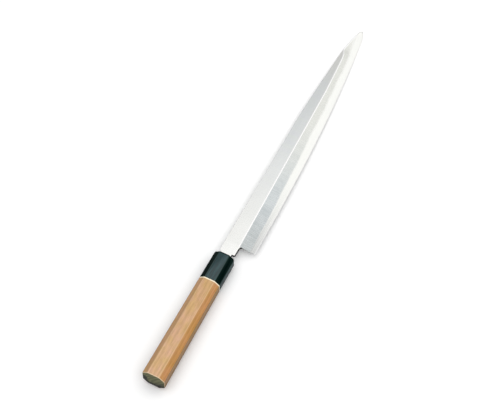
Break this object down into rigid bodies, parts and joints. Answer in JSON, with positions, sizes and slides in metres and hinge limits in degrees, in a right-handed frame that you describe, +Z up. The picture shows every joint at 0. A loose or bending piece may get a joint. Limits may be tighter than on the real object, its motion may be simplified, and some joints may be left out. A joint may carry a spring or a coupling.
{
  "type": "fuguhiki slicing knife",
  "caption": "Long, very thin single-bevel slicing knife: laminated steel blade with an angled tip and hollow-ground back, hidden tang, dark horn ferrule and octagonal wooden grip.",
  "frame": {"origin": "on the ground, at the bottom centre of the knife's bounding box, with the knife lying on its back: it rests on the lower front edge of the ferrule's nose and on the blade's tip", "axes": "+X along the knife from the butt to the tip, +Y from the cutting edge to the spine, +Z up, out of the bevelled front of the blade"},
  "size_m": [0.4276, 0.0344, 0.0248],
  "materials": {
    "soft_iron": "satin, ground and hazed along the bevel",
    "hard_steel": "polished",
    "black_horn": "polished horn",
    "pale_wood": "bare, fine sanded"
  },
  "bodies": {
    "root": {"blade_iron": "soft_iron", "edge_steel": "hard_steel", "ferrule": "black_horn", "grip": "pale_wood"}
  },
  "joints": []
}
